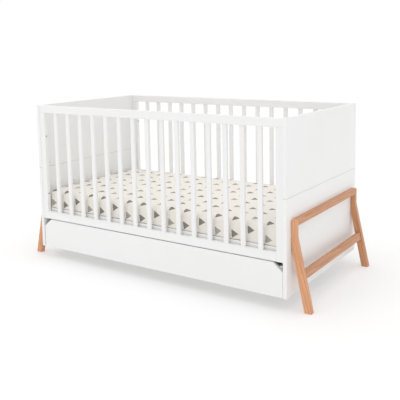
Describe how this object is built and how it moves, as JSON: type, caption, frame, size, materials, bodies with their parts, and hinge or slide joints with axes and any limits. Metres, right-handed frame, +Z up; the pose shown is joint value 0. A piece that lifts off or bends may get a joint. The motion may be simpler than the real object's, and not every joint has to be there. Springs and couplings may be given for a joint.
{
  "type": "baby crib",
  "caption": "White cot with slatted long sides and solid end walls on splayed wooden end frames, a mattress on a slatted base and a full-width drawer on rollers below.",
  "frame": {"origin": "on the floor, under the middle of the cot's overall box", "axes": "+X along the cot towards its right-hand end, +Y towards its back, -Y its front with the drawer, +Z up"},
  "size_m": [1.6364, 0.766, 0.81],
  "materials": {
    "white_lacquer": "white satin lacquer",
    "white_hardboard": "white-faced hardboard",
    "beech": "oiled, warm brown",
    "base_wood": "bare planed pine",
    "dowel_wood": "fluted beech dowel",
    "runner_steel": "white powder coat",
    "fastener_steel": "zinc plated",
    "nylon": "white nylon",
    "mattress_cover": "cream cotton fitted sheet with a dark geometric print"
  },
  "bodies": {
    "cot": {"back_bottom_rail": "white_lacquer", "back_slats": "white_lacquer", "back_top_rail": "white_lacquer", "base_end_bars": "white_lacquer", "base_rails": "white_lacquer", "base_slats": "base_wood", "flat_head_bolts": "fastener_steel", "front_bottom_rail": "white_lacquer", "front_slat_01": "white_lacquer", "front_slat_02": "white_lacquer", "front_slat_03": "white_lacquer", "front_slat_04": "white_lacquer", "front_slat_05": "white_lacquer", "front_slat_06": "white_lacquer", "front_slat_07": "white_lacquer", "front_slat_08": "white_lacquer", "front_slat_09": "white_lacquer", "front_slat_10": "white_lacquer", "front_slat_11": "white_lacquer", "front_slat_12": "white_lacquer", "front_slat_13": "white_lacquer", "front_slat_14": "white_lacquer", "front_slat_15": "white_lacquer", "front_top_rail": "white_lacquer", "left_back_leg": "beech", "left_back_stile": "white_lacquer", "left_fixed_runner": "runner_steel", "left_frame_cross_bar": "beech", "left_frame_top_bar": "beech", "left_front_leg": "beech", "left_front_stile": "white_lacquer", "left_lower_end_board": "white_lacquer", "left_upper_end_board": "white_lacquer", "right_back_leg": "beech", "right_back_stile": "white_lacquer", "right_fixed_runner": "runner_steel", "right_frame_cross_bar": "beech", "right_frame_top_bar": "beech", "right_front_leg": "beech", "right_front_stile": "white_lacquer", "right_lower_end_board": "white_lacquer", "right_upper_end_board": "white_lacquer", "runner_screws": "fastener_steel", "side_bolts": "fastener_steel", "threaded_inserts": "fastener_steel", "wood_dowels": "dowel_wood"},
    "drawer": {"drawer_front": "white_lacquer", "drawer_back": "white_lacquer", "drawer_floor": "white_hardboard", "left_drawer_side": "white_lacquer", "right_drawer_side": "white_lacquer", "left_drawer_runner": "runner_steel", "right_drawer_runner": "runner_steel", "drawer_cams": "fastener_steel", "drawer_screws": "fastener_steel"},
    "mattress": {"mattress": "mattress_cover"},
    "left_fixed_roller": {"left_fixed_roller": "nylon"},
    "right_fixed_roller": {"right_fixed_roller": "nylon"},
    "left_drawer_roller": {"left_drawer_roller": "nylon"},
    "right_drawer_roller": {"right_drawer_roller": "nylon"}
  },
  "joints": [
    {"name": "drawer_slide", "type": "slide", "parent": "cot", "child": "drawer", "axis": [0, -1, 0], "range_m": [0, 0.45]},
    {"name": "mattress_lift", "type": "slide", "parent": "cot", "child": "mattress", "axis": [0, 0, 1], "range_m": [0, 0.6]},
    {"name": "left_fixed_roller_spin", "type": "hinge", "parent": "cot", "child": "left_fixed_roller", "pos_m": [-0.70025, -0.335, 0.0905], "axis": [1, 0, 0], "continuous": true},
    {"name": "left_drawer_roller_spin", "type": "hinge", "parent": "drawer", "child": "left_drawer_roller", "pos_m": [-0.70025, 0.25, 0.0913], "axis": [1, 0, 0], "continuous": true},
    {"name": "right_fixed_roller_spin", "type": "hinge", "parent": "cot", "child": "right_fixed_roller", "pos_m": [0.70025, -0.335, 0.0905], "axis": [1, 0, 0], "continuous": true},
    {"name": "right_drawer_roller_spin", "type": "hinge", "parent": "drawer", "child": "right_drawer_roller", "pos_m": [0.70025, 0.25, 0.0913], "axis": [1, 0, 0], "continuous": true}
  ],
  "couplings": [
    {"joint": "left_fixed_roller_spin", "follows": "drawer_slide", "rad_per_m": 128.21},
    {"joint": "left_drawer_roller_spin", "follows": "drawer_slide", "rad_per_m": 113.64},
    {"joint": "right_fixed_roller_spin", "follows": "drawer_slide", "rad_per_m": 128.21},
    {"joint": "right_drawer_roller_spin", "follows": "drawer_slide", "rad_per_m": 113.64}
  ]
}
